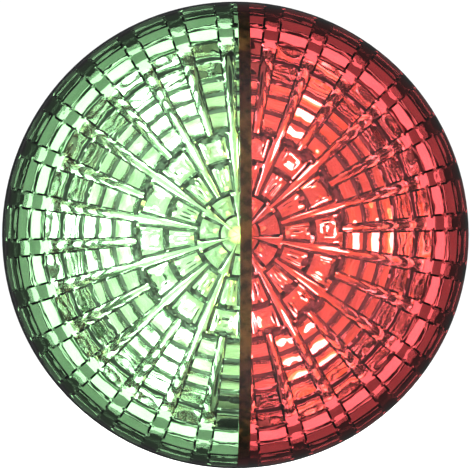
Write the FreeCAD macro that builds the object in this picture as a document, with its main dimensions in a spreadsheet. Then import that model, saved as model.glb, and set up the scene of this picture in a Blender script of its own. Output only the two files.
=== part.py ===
# Two-colour LED navigation light for a boat's bow: a round prismatic lens, green on the
# starboard side and red on the port side, that twists on to a surface-mounted base.
#
# Every piece is drawn in one working frame: X to the viewer's right, Y up and Z forward, out
# through the lens, with the back of the mounting gasket at Z = 0. FRAME then turns the piece
# into the part's own frame, where Z is up, the lens faces -Y and the hull is at +Y.

import FreeCAD, Part
import math
import os
import Sketcher

Vector = FreeCAD.Vector
Placement = FreeCAD.Placement
Rotation = FreeCAD.Rotation
FORWARD = Vector(0, 0, 1)
FRAME = Placement(Vector(0, 0, 0), Rotation(Vector(1, 0, 0), 90))

DIMENSIONS = [
    # alias, value in millimetres (degrees or a count where it says so), what it is
    ("flange_radius", 38.1, "base flange, the widest part of the light"),
    ("flange_bevel", 0.5, "bevel on the flange's front edge"),
    ("gasket_thick", 1.5, "foam gasket between the base and the hull"),
    ("gasket_radius", 36.4, "outside of the foam gasket"),
    ("gasket_hole", 9.0, "radius of the gasket's middle hole"),
    ("floor_thick", 3.0, "floor and flange of the base"),
    ("collar_outer", 33.5, "collar that the lens turns on"),
    ("collar_wall", 3.0, "wall of the collar"),
    ("collar_top", 17.0, "front edge of the collar, from the hull"),
    ("seal_circle", 36.5, "radius of the lens seal's centre line"),
    ("seal_section", 0.75, "radius of the lens seal's own section"),
    ("seal_play", 0.05, "clearance round the seal in its groove"),
    ("seal_groove_half", 0.8, "half the width of the seal's groove"),
    ("seal_groove_depth", 1.1, "depth of the seal's groove"),
    ("cable_hole", 6.0, "radius of the cable hole in the base floor"),
    ("cable_bore", 2.6, "radius of the grommet's bore, for a 5 mm cable"),
    ("grommet_flange", 8.0, "radius of the grommet's flanges"),
    ("grommet_lip", 1.2, "thickness of the grommet's inner flange"),
    ("grommet_nose", 1.4, "height of the grommet's tapered nose"),
    ("mount_pitch", 50.0, "distance between the two mounting holes"),
    ("mount_hole", 2.25, "radius of the mounting holes, for 4 mm screws"),
    ("mount_seal_outer", 4.4, "radius of the rubber washer at each mounting hole"),
    ("mount_seal_thick", 1.0, "thickness of that washer"),
    ("post_across", 19.05, "distance of each board post to the side of the middle"),
    ("post_along", 11.0, "distance of each board post above or below the middle"),
    ("post_radius", 3.9, "radius of the board posts"),
    ("insert_radius", 1.9, "radius of the brass inserts"),
    ("insert_length", 5.0, "length of the brass inserts"),
    ("insert_bore", 1.3, "bore of the brass inserts"),
    ("board_back", 11.0, "back face of the circuit board, from the hull"),
    ("board_thick", 1.6, "thickness of the circuit board"),
    ("board_radius", 26.0, "radius of the circuit board"),
    ("mount_boss_top", 13.4, "front of the bosses round the mounting holes, from the hull"),
    ("boss_clearance", 0.4, "gap round those bosses in the board and reflector"),
    ("led_circle", 16.0, "radius of the circle of six light-emitting diodes"),
    ("led_count", 6, "diodes round the one in the middle (count)"),
    ("led_radius", 2.5, "radius of a diode's body"),
    ("led_rim", 2.85, "radius of a diode's rim"),
    ("led_rim_height", 1.0, "height of a diode's rim"),
    ("led_height", 8.6, "height of a diode from its seat to the top of its dome"),
    ("lead_pitch", 2.54, "distance between a diode's two leads"),
    ("lead_half", 0.25, "half the width of a lead"),
    ("lead_hole", 0.45, "radius of the board's lead holes"),
    ("lead_tail", 1.6, "length of lead behind the board"),
    ("dish_floor", 13.8, "back of the reflector's flat floor, from the hull"),
    ("dish_wall", 1.1, "wall of the reflector"),
    ("dish_floor_radius", 19.5, "radius of the reflector's flat floor"),
    ("dish_curve", 25.5, "radius of the curve in the section of the reflector's bowl"),
    ("dish_mouth", 30.2, "radius of the bowl's mouth"),
    ("dish_crest", 22.6, "front of the reflector's crest, from the hull"),
    ("dish_crest_width", 1.2, "width of the crest, where the bowl folds back to the collar"),
    ("dish_fold_drop", 1.5, "depth of the fold's hollow below the crest"),
    ("dish_rim", 33.4, "outside of the reflector's foot"),
    ("dish_foot_back", 17.15, "back of the reflector's foot, just clear of the collar"),
    ("dish_foot_height", 0.7, "height of the foot's outer edge"),
    ("dish_led_hole", 2.75, "radius of the reflector's holes for the diodes"),
    ("seat_radius", 3.6, "radius of the reflector's screw pillars"),
    ("seat_height", 15.4, "front of the screw seats, from the hull"),
    ("screw_shank", 1.2, "radius of the small screws' shanks"),
    ("screw_hole", 1.5, "radius of the holes that those shanks pass through"),
    ("screw_head", 2.4, "radius of the small screws' heads"),
    ("screw_head_height", 1.5, "height of the small screws' heads"),
    ("screw_recess", 2.9, "radius of the recess round each head"),
    ("screw_tip", 7.0, "tip of the small screws, from the hull"),
    ("solder_gap", 0.02, "gap between the board and what is soldered to it"),
    ("resistor_wide", 3.2, "length of a chip resistor"),
    ("resistor_tall", 1.6, "width of a chip resistor"),
    ("resistor_deep", 0.6, "height of a chip resistor"),
    ("resistor_reach", 10.5, "distance of the resistor rows from the middle"),
    ("resistor_pitch", 3.0, "distance between resistors in a row"),
    ("rectifier_wide", 4.8, "length of the rectifier's case"),
    ("rectifier_tall", 4.0, "width of the rectifier's case"),
    ("rectifier_deep", 2.4, "height of the rectifier's case"),
    ("rectifier_drop", 16.0, "height of the rectifier above the middle"),
    ("foot_wide", 0.6, "width of a rectifier's foot"),
    ("foot_tall", 1.1, "length of a rectifier's foot"),
    ("foot_deep", 0.4, "thickness of the feet and of the regulator's tab"),
    ("regulator_wide", 4.5, "length of the regulator's case"),
    ("regulator_tall", 2.5, "width of the regulator's case"),
    ("regulator_deep", 1.5, "height of the regulator's case"),
    ("regulator_drop", 6.0, "height of the regulator above the middle"),
    ("tab_wide", 2.0, "width of the regulator's cooling tab"),
    ("tab_tall", 1.2, "length of the regulator's cooling tab"),
    ("can_radius", 2.5, "radius of the capacitor's can"),
    ("can_height", 5.0, "height of the capacitor's can"),
    ("can_reach", 10.0, "distance of the capacitor left of the middle"),
    ("can_drop", 8.0, "distance of the capacitor below the middle"),
    ("terminal_wide", 10.0, "length of the terminal block"),
    ("terminal_tall", 6.6, "width of the terminal block"),
    ("terminal_deep", 5.8, "height of the terminal block"),
    ("terminal_drop", 15.0, "distance of the terminal block below the middle"),
    ("terminal_pitch", 5.0, "distance between the two terminals"),
    ("wire_hole", 1.1, "radius of the terminal block's wire holes"),
    ("wire_depth", 5.0, "depth of the wire holes"),
    ("clamp_radius", 1.3, "radius of the clamping screws"),
    ("clamp_height", 1.6, "height of the clamping screws"),
    ("clamp_sink", 0.4, "how far the clamping screws are sunk in the block"),
    ("slot_width", 0.4, "width of the clamping screws' slots"),
    ("slot_deep", 0.5, "depth of the clamping screws' slots"),
    ("recess_depth", 0.8, "depth of the small screws' cross recess"),
    ("recess_half", 0.3, "half the width of the cross recess"),
    ("recess_reach", 1.3, "half the length of the cross recess"),
    ("lens_radius", 37.7, "outside of the lens skirt"),
    ("lens_wall", 2.4, "wall of the lens between its prisms"),
    ("lens_back", 5.0, "back edge of the lens skirt, from the hull"),
    ("dome_base", 14.0, "plane where the skirt ends and the dome starts, from the hull"),
    ("dome_height", 28.0, "height of the dome above that plane"),
    ("prism_height", 0.7, "height of the prisms on the inside of the dome"),
    ("seam_lap", 1.9, "width of the lap joint between the two colours"),
    ("bond_gap", 0.02, "glue line between bonded pieces"),
    ("ring_inner", 33.8, "inside of the bayonet ring"),
    ("ring_back", 5.3, "back edge of the bayonet ring, from the hull"),
    ("ring_front", 12.0, "front edge of the bayonet ring, from the hull"),
    ("lug_count", 3, "bayonet lugs (count)"),
    ("lug_reach", 1.5, "how far a lug stands in from the ring"),
    ("lug_back", 8.25, "back of the lugs, from the hull"),
    ("lug_thick", 2.0, "thickness of the lugs"),
    ("lug_angle", 12.0, "width of a lug (degrees)"),
    ("lug_play", 0.25, "clearance behind and in front of a lug"),
    ("lug_end_play", 1.0, "clearance at each end of a lug (degrees)"),
    ("twist_angle", 25.0, "turn from locked to free (degrees)"),
    ("slot_depth", 1.5, "depth of the bayonet slots in the collar"),
]


def make_sheet(doc):
    """Puts the driving dimensions into a spreadsheet, one row each."""
    sheet = doc.addObject("Spreadsheet::Sheet", "dims")
    for row, (alias, value, note) in enumerate(DIMENSIONS, start=1):
        sheet.set(f"A{row}", note)
        sheet.set(f"B{row}", str(value))
        sheet.setAlias(f"B{row}", alias)
    doc.recompute()
    return sheet


doc = FreeCAD.newDocument("navigation_light")
dims = make_sheet(doc)
slate = doc.addObject("Spreadsheet::Sheet", "slate")
known_lengths = {}


def size(name):
    """A driving dimension's value."""
    return float(dims.get(name))


def length(expression):
    """The value of an expression such as 'dims.floor_thick + 2', read through a working cell."""
    if expression not in known_lengths:
        slate.set("A1", f"={expression}")
        slate.recompute()
        known_lengths[expression] = float(slate.get("A1"))
    return known_lengths[expression]


# ---------------------------------------------------------------- sketches and features


def new_body(label):
    body = doc.addObject("PartDesign::Body", label)
    body.Label = label
    return body


def new_sketch(body, plane, turn=0.0, lift="0"):
    """A sketch on one of the body's own origin planes, turned about Z or lifted along Z."""
    sketch = body.newObject("Sketcher::SketchObject", body.Name + "_sketch")
    origin = next(f for f in body.Origin.OriginFeatures if f.Role == plane)
    sketch.AttachmentSupport = (origin, [""])
    sketch.MapMode = "FlatFace"
    if plane == "XZ_Plane":
        sketch.AttachmentOffset = Placement(Vector(0, 0, 0), Rotation(Vector(0, 1, 0), turn))
    else:
        sketch.AttachmentOffset = Placement(Vector(0, 0, length(lift)), Rotation())
        if lift != "0":
            sketch.setExpression("AttachmentOffset.Base.z", lift)
    return sketch


def place_point(sketch, geometry, position, across, along):
    """Fixes one point of a sketch to two expressions, measured from the sketch's origin."""
    for kind, expression, axis in (("DistanceX", across, -2), ("DistanceY", along, -1)):
        value = length(expression)
        if abs(value) < 1e-9:
            sketch.addConstraint(Sketcher.Constraint("PointOnObject", geometry, position, axis))
        else:
            index = sketch.addConstraint(
                Sketcher.Constraint(kind, -1, 1, geometry, position, value)
            )
            sketch.setExpression(f"Constraints[{index}]", expression)


def hollow_arc(inner, outer, radius):
    """An arc between two points that bulges to the right of the way from inner to outer."""
    chord = outer - inner
    right = Vector(chord.y, -chord.x, 0).normalize()
    bulge = radius - math.sqrt(radius**2 - (chord.Length / 2) ** 2)
    return Part.Arc(inner, (inner + outer) / 2 + right * bulge, outer)


def end_at(sketch, geometry, spot):
    """The number of the end of a sketch's line or arc that lies at spot."""
    return 1 if (sketch.Geometry[geometry].StartPoint - spot).Length < 1e-6 else 2


def draw_outline(sketch, corners, arcs=None):
    """A closed outline through corners, each a pair of expressions. The sides that start at the
    corners numbered in arcs are round, with that radius, and bulge away from the axis."""
    arcs = arcs or {}
    spots = [Vector(length(across), length(along), 0) for across, along in corners]
    following = spots[1:] + spots[:1]
    for i, (spot, after) in enumerate(zip(spots, following)):
        if i in arcs:
            side = hollow_arc(*sorted((spot, after), key=lambda p: p.x), length(arcs[i]))
        else:
            side = Part.LineSegment(spot, after)
        sketch.addGeometry(side, False)
    for i, after in enumerate(following):
        joined = (i + 1) % len(spots)
        ends = (end_at(sketch, i, after), end_at(sketch, joined, after))
        sketch.addConstraint(Sketcher.Constraint("Coincident", i, ends[0], joined, ends[1]))
    for i, (across, along) in enumerate(corners):
        place_point(sketch, i, end_at(sketch, i, spots[i]), across, along)
    for i, radius in arcs.items():
        index = sketch.addConstraint(Sketcher.Constraint("Radius", i, length(radius)))
        sketch.setExpression(f"Constraints[{index}]", radius)


def draw_circle(sketch, across, along, radius):
    centre = Vector(length(across), length(along), 0)
    circle = sketch.addGeometry(Part.Circle(centre, FORWARD, length(radius)), False)
    place_point(sketch, circle, 3, across, along)
    index = sketch.addConstraint(Sketcher.Constraint("Radius", circle, length(radius)))
    sketch.setExpression(f"Constraints[{index}]", radius)


def turn_sketch(body, sketch):
    """A full turn of a sketch about the Z axis."""
    feature = body.newObject("PartDesign::Revolution", body.Name + "_turned")
    feature.Profile = sketch
    feature.ReferenceAxis = (sketch, ["V_Axis"])
    feature.Angle = 360
    return feature


def revolve(body, corners, arcs=None):
    """A full turn of an outline, given as (radius, height) corners, about the Z axis."""
    sketch = new_sketch(body, "XZ_Plane")
    draw_outline(sketch, corners, arcs)
    return turn_sketch(body, sketch)


def groove(body, corners, middle, angle):
    """Cuts an outline turned through part of a circle, centred on the angle called middle."""
    sketch = new_sketch(body, "XZ_Plane", turn=middle)
    draw_outline(sketch, corners)
    feature = body.newObject("PartDesign::Groove", body.Name + "_groove")
    feature.Profile = sketch
    feature.ReferenceAxis = (sketch, ["V_Axis"])
    feature.Midplane = True
    feature.Angle = angle
    return feature


def pad(body, circles, start, height, outline=None):
    """Adds a straight boss from the height called start, with round outlines."""
    sketch = new_sketch(body, "XY_Plane", lift=start)
    for circle in circles:
        draw_circle(sketch, *circle)
    if outline:
        draw_outline(sketch, outline)
    feature = body.newObject("PartDesign::Pad", body.Name + "_pad")
    feature.Profile = sketch
    feature.setExpression("Length", height)
    return feature


def pocket(body, circles, start, depth):
    """Cuts straight round holes forward from the height called start."""
    sketch = new_sketch(body, "XY_Plane", lift=start)
    for circle in circles:
        draw_circle(sketch, *circle)
    feature = body.newObject("PartDesign::Pocket", body.Name + "_holes")
    feature.Profile = sketch
    feature.Type = "Length"
    feature.setExpression("Length", depth)
    feature.Reversed = True
    return feature


def polar(body, features, count):
    """Repeats features round the Z axis, and makes the result the body's tip."""
    pattern = body.newObject("PartDesign::PolarPattern", body.Name + "_pattern")
    pattern.Originals = features
    z_axis = next(f for f in body.Origin.OriginFeatures if f.Role == "Z_Axis")
    pattern.Axis = (z_axis, [""])
    pattern.Angle = 360
    pattern.Occurrences = int(length(count))
    body.Tip = pattern
    return pattern


def cylinder(name, radius, height, at=("0", "0", "0")):
    """A round primitive whose sizes and place are expressions."""
    item = doc.addObject("Part::Cylinder", name)
    item.setExpression("Radius", radius)
    item.setExpression("Height", height)
    move(item, at)
    return item


def block(name, sides, at):
    """A box of three sides whose lowest corner is at a place, all expressions."""
    item = doc.addObject("Part::Box", name)
    for side, expression in zip(("Length", "Width", "Height"), sides):
        item.setExpression(side, expression)
    move(item, at)
    return item


def move(item, at):
    for axis, expression in zip("xyz", at):
        item.setExpression(f"Placement.Base.{axis}", expression)


def fuse(name, items):
    joined = doc.addObject("Part::MultiFuse", name)
    joined.Shapes = items
    return joined


def cut(name, base, tool):
    result = doc.addObject("Part::Cut", name)
    result.Base = base
    result.Tool = tool
    return result


def group(label, items):
    """Several separate solids as one sub-part."""
    compound = doc.addObject("Part::Compound", label)
    compound.Label = label
    compound.Links = items
    return compound


def shaped(label, shape):
    """A sub-part whose shape is computed here."""
    item = doc.addObject("Part::Feature", label)
    item.Label = label
    item.Shape = shape
    return item


FLOOR = "dims.gasket_thick + dims.floor_thick"
BOARD_FRONT = "dims.board_back + dims.board_thick"
HALF_PITCH = "dims.mount_pitch / 2"
BOSS_HOLE = "dims.mount_seal_outer + dims.boss_clearance"
MOUNT_HOLES = [("0", HALF_PITCH), ("0", "-" + HALF_PITCH)]
POSTS = [("dims.post_across", "dims.post_along"), ("-dims.post_across", "-dims.post_along")]


def circles_at(places, radius):
    return [(across, along, radius) for across, along in places]


# ---------------------------------------------------------------- base


def base_housing():
    """Floor, flange, seal groove and collar in one moulding, with posts, holes and slots."""
    body = new_body("base_housing")
    revolve(
        body,
        [
            ("dims.cable_hole", "dims.gasket_thick"),
            ("dims.flange_radius", "dims.gasket_thick"),
            ("dims.flange_radius", f"{FLOOR} - dims.flange_bevel"),
            ("dims.flange_radius - dims.flange_bevel", FLOOR),
            ("dims.seal_circle + dims.seal_groove_half", FLOOR),
            ("dims.seal_circle + dims.seal_groove_half", f"{FLOOR} - dims.seal_groove_depth"),
            ("dims.seal_circle - dims.seal_groove_half", f"{FLOOR} - dims.seal_groove_depth"),
            ("dims.seal_circle - dims.seal_groove_half", FLOOR),
            ("dims.collar_outer", FLOOR),
            ("dims.collar_outer", "dims.collar_top"),
            ("dims.collar_outer - dims.collar_wall", "dims.collar_top"),
            ("dims.collar_outer - dims.collar_wall", FLOOR),
            ("dims.cable_hole", FLOOR),
        ],
    )
    pad(body, circles_at(POSTS, "dims.post_radius"), FLOOR, f"dims.board_back - ({FLOOR})")
    bosses = circles_at(MOUNT_HOLES, "dims.mount_seal_outer")
    pad(body, bosses, FLOOR, f"dims.mount_boss_top - ({FLOOR})")
    pocket(
        body,
        circles_at(POSTS, "dims.insert_radius"),
        "dims.board_back - dims.insert_length",
        "dims.insert_length + 1",
    )
    pocket(
        body,
        circles_at(MOUNT_HOLES, "dims.mount_hole"),
        "0",
        "dims.mount_boss_top + 1",
    )
    bayonet_slots(body)
    return body


def bayonet_slots(body):
    """L-shaped slots in the collar: a run that the lug turns along, and a way in at its end."""
    half_lug = size("lug_angle") / 2 + size("lug_end_play")
    slot_floor, outside = "dims.collar_outer - dims.slot_depth", "dims.collar_outer + 1"
    back = "dims.lug_back - dims.lug_play"
    front = "dims.lug_back + dims.lug_thick + dims.lug_play"
    top = "dims.collar_top + 1"
    way_in = groove(
        body,
        [(slot_floor, back), (outside, back), (outside, top), (slot_floor, top)],
        size("twist_angle"),
        2 * half_lug,
    )
    run = groove(
        body,
        [(slot_floor, back), (outside, back), (outside, front), (slot_floor, front)],
        size("twist_angle") / 2 - half_lug / 2,
        size("twist_angle") + half_lug,
    )
    polar(body, [way_in, run], "dims.lug_count")


def mounting_gasket():
    """Closed-cell foam disc that seals the base to the hull."""
    body = new_body("mounting_gasket")
    circles = [("0", "0", "dims.gasket_radius"), ("0", "0", "dims.gasket_hole")]
    circles += circles_at(MOUNT_HOLES, "dims.mount_hole")
    pad(body, circles, "0", "dims.gasket_thick")
    return body


def cable_grommet():
    """Rubber grommet that seals the cable where it passes through the base."""
    body = new_body("cable_grommet")
    neck = "dims.cable_hole - dims.bond_gap"
    revolve(
        body,
        [
            ("dims.cable_bore", "0"),
            ("dims.grommet_flange", "0"),
            ("dims.grommet_flange", "dims.gasket_thick - dims.bond_gap"),
            (neck, "dims.gasket_thick - dims.bond_gap"),
            (neck, f"{FLOOR} + dims.bond_gap"),
            ("dims.grommet_flange", f"{FLOOR} + dims.bond_gap"),
            ("dims.grommet_flange", f"{FLOOR} + dims.grommet_lip"),
            ("dims.cable_bore * 1.6", f"{FLOOR} + dims.grommet_lip + dims.grommet_nose"),
            ("dims.cable_bore", f"{FLOOR} + dims.grommet_lip + dims.grommet_nose"),
        ],
    )
    return body


def lens_seal():
    """Rubber ring in the flange's groove, pressed by the lens skirt."""
    body = new_body("lens_seal")
    sketch = new_sketch(body, "XZ_Plane")
    height = f"{FLOOR} - dims.seal_groove_depth + dims.seal_section + dims.seal_play"
    draw_circle(sketch, "dims.seal_circle", height, "dims.seal_section")
    turn_sketch(body, sketch)
    return body


def mounting_hole_seals():
    """Rubber washers that the heads of the hull screws press on."""
    washers = []
    for across, along in MOUNT_HOLES:
        at = (across, along, "dims.mount_boss_top")
        disc = cylinder("washer", "dims.mount_seal_outer", "dims.mount_seal_thick", at)
        hole = cylinder("washer_hole", "dims.mount_hole", "dims.mount_seal_thick", at)
        washers.append(cut("washer_ring", disc, hole))
    return group("mounting_hole_seals", washers)


def threaded_inserts():
    """Brass inserts in the posts, for the two small screws."""
    inserts = []
    for across, along in POSTS:
        at = (across, along, "dims.board_back - dims.insert_length")
        sleeve = cylinder("sleeve", "dims.insert_radius - dims.bond_gap", "dims.insert_length", at)
        bore = cylinder("sleeve_bore", "dims.insert_bore", "dims.insert_length", at)
        inserts.append(cut("insert", sleeve, bore))
    return group("threaded_inserts", inserts)


# ---------------------------------------------------------------- light engine


def led_places():
    """The diodes' places as (x, y) in millimetres: the middle one first, then the circle."""
    reach, count = size("led_circle"), int(size("led_count"))
    turns = [2 * math.pi * i / count for i in range(count)]
    return [(0.0, 0.0)] + [(reach * math.cos(t), reach * math.sin(t)) for t in turns]


def circuit_board():
    """Round board with notches round the mounting bosses and holes for the diodes' leads."""
    body = new_body("circuit_board")
    pad(body, [("0", "0", "dims.board_radius")], "dims.board_back", "dims.board_thick")
    below, through = "dims.board_back - 1", "dims.board_thick + 2"
    pocket(body, circles_at(MOUNT_HOLES, BOSS_HOLE), below, through)
    pocket(body, circles_at(POSTS, "dims.screw_hole"), below, through)
    half = "dims.lead_pitch / 2"
    pocket(body, circles_at([(half, "0"), ("-" + half, "0")], "dims.lead_hole"), below, through)
    ring = circles_at(
        [(f"dims.led_circle + {half}", "0"), (f"dims.led_circle - {half}", "0")],
        "dims.lead_hole",
    )
    polar(body, [pocket(body, ring, below, through)], "dims.led_count")
    return body


def diode(x, y):
    """One clear epoxy diode body: a rim, a barrel and a domed end."""
    foot = BOARD_FRONT + " + dims.bond_gap"
    place = (str(x), str(y))
    barrel_height = "dims.led_height - dims.led_radius"
    rim = cylinder("diode_rim", "dims.led_rim", "dims.led_rim_height", (*place, foot))
    barrel = cylinder("diode_barrel", "dims.led_radius", barrel_height, (*place, foot))
    dome = doc.addObject("Part::Sphere", "diode_dome")
    dome.setExpression("Radius", "dims.led_radius")
    move(dome, (*place, f"{foot} + {barrel_height}"))
    return fuse("diode", [rim, barrel, dome])


def diodes():
    """The diodes in three sub-parts: the middle one, and three behind each colour."""
    centre, *ring = led_places()
    sides = {"leds_starboard": [], "leds_port": []}
    for x, y in ring:
        sides["leds_starboard" if x < 0 else "leds_port"].append(diode(x, y))
    return [group("led_centre", [diode(*centre)])] + [group(k, v) for k, v in sides.items()]


def led_leads():
    """Square wire leads from the diodes through the board, two to each diode."""
    leads = []
    half_pitch, half = size("lead_pitch") / 2, size("lead_half")
    for index, (x, y) in enumerate(led_places()):
        turn = math.atan2(y, x) if index else 0.0
        for side in (half_pitch, -half_pitch):
            lead = block(
                "lead",
                ("2 * dims.lead_half", "2 * dims.lead_half", "dims.board_thick + dims.lead_tail"),
                ("0", "0", "dims.board_back - dims.lead_tail"),
            )
            middle = Vector(x + side * math.cos(turn), y + side * math.sin(turn), 0)
            spin = Rotation(FORWARD, math.degrees(turn))
            corner = middle + spin.multVec(Vector(-half, -half, 0))
            lead.Placement.Rotation = spin
            lead.setExpression("Placement.Base.x", str(corner.x))
            lead.setExpression("Placement.Base.y", str(corner.y))
            leads.append(lead)
    return group("led_leads", leads)


def reflector():
    """Bowl in front of the board that folds back at its crest to a foot on the collar, with a
    hole for each diode and two screw pillars."""
    body = new_body("reflector")
    floor_front = "dims.dish_floor + dims.dish_wall"
    revolve(
        body,
        [
            ("0", "dims.dish_floor"),
            ("dims.dish_floor_radius + dims.dish_wall / 2", "dims.dish_floor"),
            ("dims.dish_mouth", "dims.dish_crest - dims.dish_fold_drop"),
            ("dims.dish_rim - dims.dish_crest_width", "dims.dish_foot_back"),
            ("dims.dish_rim", "dims.dish_foot_back"),
            ("dims.dish_rim", "dims.dish_foot_back + dims.dish_foot_height"),
            ("dims.dish_mouth + dims.dish_crest_width", "dims.dish_crest"),
            ("dims.dish_mouth", "dims.dish_crest"),
            ("dims.dish_floor_radius", floor_front),
            ("0", floor_front),
        ],
        arcs={1: "dims.dish_curve + dims.dish_wall", 7: "dims.dish_curve"},
    )
    seat = BOARD_FRONT + " + dims.bond_gap"
    pad(body, circles_at(POSTS, "dims.seat_radius"), seat, f"dims.seat_height - ({seat})")
    tall = "dims.dish_crest"
    pocket(body, circles_at(POSTS, "dims.screw_recess"), "dims.seat_height", tall)
    pocket(body, circles_at(POSTS, "dims.screw_hole"), "dims.board_back", tall)
    pocket(body, circles_at(MOUNT_HOLES, BOSS_HOLE), "dims.board_back", tall)
    pocket(body, [("0", "0", "dims.dish_led_hole")], "dims.board_back", tall)
    ring = pocket(
        body, [("dims.led_circle", "0", "dims.dish_led_hole")], "dims.board_back", tall
    )
    polar(body, [ring], "dims.led_count")
    return body


def reflector_screws():
    """Cross-recess screws that hold the reflector and board to the posts."""
    screws = []
    top = "dims.seat_height + dims.screw_head_height"
    long_half, short_half = "dims.recess_reach", "dims.recess_half"
    for across, along in POSTS:
        seat = (across, along, "dims.seat_height")
        tip = (across, along, "dims.screw_tip")
        shank_length = "dims.seat_height - dims.screw_tip + dims.screw_head_height / 2"
        blank = fuse(
            "screw_blank",
            [
                cylinder("screw_head", "dims.screw_head", "dims.screw_head_height", seat),
                cylinder("screw_shank", "dims.screw_shank", shank_length, tip),
            ],
        )
        bars = [
            block(
                "recess_bar",
                (f"2 * {half_x}", f"2 * {half_y}", "dims.screw_head_height"),
                (f"{across} - {half_x}", f"{along} - {half_y}", f"{top} - dims.recess_depth"),
            )
            for half_x, half_y in ((long_half, short_half), (short_half, long_half))
        ]
        screws.append(cut("screw", blank, fuse("recess", bars)))
    return group("reflector_screws", screws)


def chip(name, sides, middle):
    """A box of a component that hangs from the back of the board, centred on a place."""
    wide, tall, deep = sides
    at = (
        f"{middle[0]} - {wide} / 2",
        f"{middle[1]} - {tall} / 2",
        f"dims.board_back - dims.solder_gap - {deep}",
    )
    return block(name, sides, at)


def sides_of(kind):
    """The three side lengths of a kind of component."""
    return (f"dims.{kind}_wide", f"dims.{kind}_tall", f"dims.{kind}_deep")


def current_resistors():
    """Six chip resistors in two rows of three, up each side of the board."""
    resistors = []
    for sign in ("-", ""):
        for row in range(3):
            middle = (f"{sign}dims.resistor_reach", f"dims.resistor_pitch * {row + 2}")
            resistors.append(chip("resistor", sides_of("resistor"), middle))
    return group("current_resistors", resistors)


def bridge_rectifier():
    """Rectifier that lets the supply be wired either way round, with its four feet."""
    case = chip("rectifier_case", sides_of("rectifier"), ("0", "dims.rectifier_drop"))
    foot = ("dims.foot_wide", "dims.foot_tall", "dims.foot_deep")
    along = "(dims.rectifier_tall + dims.foot_tall) / 2"
    feet = [
        chip(
            "rectifier_foot",
            foot,
            (f"{side}dims.rectifier_wide * 0.3", f"dims.rectifier_drop {end} {along}"),
        )
        for side in ("-", "")
        for end in ("-", "+")
    ]
    return group("bridge_rectifier", [case, *feet])


def voltage_regulator():
    """Constant-current regulator with its wide cooling tab."""
    case = chip("regulator_case", sides_of("regulator"), ("0", "dims.regulator_drop"))
    tab_middle = "dims.regulator_drop + (dims.regulator_tall + dims.tab_tall) / 2"
    tab = chip(
        "regulator_tab", ("dims.tab_wide", "dims.tab_tall", "dims.foot_deep"), ("0", tab_middle)
    )
    return group("voltage_regulator", [case, tab])


def smoothing_capacitor():
    """Round can capacitor below the left row of resistors."""
    at = ("-dims.can_reach", "-dims.can_drop", "dims.board_back - dims.solder_gap - dims.can_height")
    return group("smoothing_capacitor", [cylinder("can", "dims.can_radius", "dims.can_height", at)])


TERMINALS = ["-dims.terminal_pitch / 2", "dims.terminal_pitch / 2"]
TERMINAL_BACK = "dims.board_back - dims.solder_gap - dims.terminal_deep"


def terminal_block():
    """Two-way block for the supply wires, with its wire holes towards the grommet."""
    case = chip("terminal_case", sides_of("terminal"), ("0", "-dims.terminal_drop"))
    cuts = []
    for across in TERMINALS:
        mouth = doc.addObject("Part::Cylinder", "wire_hole")
        mouth.setExpression("Radius", "dims.wire_hole")
        mouth.setExpression("Height", "dims.wire_depth")
        mouth.Placement.Rotation = Rotation(Vector(1, 0, 0), 90)
        top = "-dims.terminal_drop + dims.terminal_tall / 2"
        move(mouth, (across, f"{top} + 1", f"{TERMINAL_BACK} + dims.terminal_deep * 0.65"))
        at = (across, "-dims.terminal_drop", f"{TERMINAL_BACK} - 1")
        well_depth = "1 + dims.clamp_sink + dims.clamp_height"
        well = cylinder("screw_well", "dims.clamp_radius + 0.1", well_depth, at)
        cuts += [mouth, well]
    return group("terminal_block", [cut("terminal_body", case, fuse("terminal_cuts", cuts))])


def terminal_screws():
    """The block's two clamping screws, slotted."""
    screws = []
    back = f"{TERMINAL_BACK} + dims.clamp_sink"
    for across in TERMINALS:
        barrel = cylinder(
            "clamp_screw",
            "dims.clamp_radius",
            "dims.clamp_height - 0.05",
            (across, "-dims.terminal_drop", back),
        )
        slot = block(
            "clamp_slot",
            ("dims.slot_width", "4 * dims.clamp_radius", "dims.slot_deep"),
            (
                f"{across} - dims.slot_width / 2",
                "-dims.terminal_drop - 2 * dims.clamp_radius",
                back,
            ),
        )
        screws.append(cut("terminal_screw", barrel, slot))
    return group("terminal_screws", screws)


# ---------------------------------------------------------------- lens

# The dome's prisms lie in rings between these angles above the skirt. Plain channels divide
# each zone, a run of rings, into equal sectors: 28 outside, then 14, and 7 round the middle.
# A zone's first channel continues the outer channel with the number that ends its entry.
RING_ANGLES = [2.0, 9.0, 15.3, 23.5, 31.0, 39.3, 46.5, 51.3, 56.5, 62.5, 70.5, 78.9, 85.2]
ZONES = [(0, 9, 28, 0), (9, 11, 14, 1), (11, 12, 7, 3)]
CHANNEL_WIDTH = 3.0
FIRST_CHANNEL = 9.4
CHANNEL_CLEARANCE = 0.6
CROWN_ANGLE = 88.5


def dome_point(inset, angle, lift=0.0):
    """A point of the dome's section at an angle above the skirt, inset from the outside."""
    across = size("lens_radius") - inset - lift
    up = size("dome_height") - inset - lift
    turn = math.radians(angle)
    return Vector(across * math.cos(turn), 0, size("dome_base") + up * math.sin(turn))


def dome_arc(inset, low, high, lift=0.0):
    """A curve between two angles of the dome's section, raised by lift at its middle."""
    middle = dome_point(inset, (low + high) / 2, lift)
    return Part.Arc(dome_point(inset, low), middle, dome_point(inset, high)).toShape()


def straight(*points):
    """Straight edges through points."""
    return [Part.LineSegment(a, b).toShape() for a, b in zip(points, points[1:])]


def dome_edges(inset):
    """The dome's section at one inset: a quarter ellipse that ends in a small flat crown."""
    centre = Vector(0, 0, size("dome_base"))
    end = dome_point(inset, CROWN_ANGLE)
    ellipse = Part.Ellipse(dome_point(inset, 0), dome_point(inset, 90), centre)
    first, last = ellipse.parameter(dome_point(inset, 0)), ellipse.parameter(end)
    return [ellipse.toShape(first, last), *straight(end, Vector(0, 0, end.z))]


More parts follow.
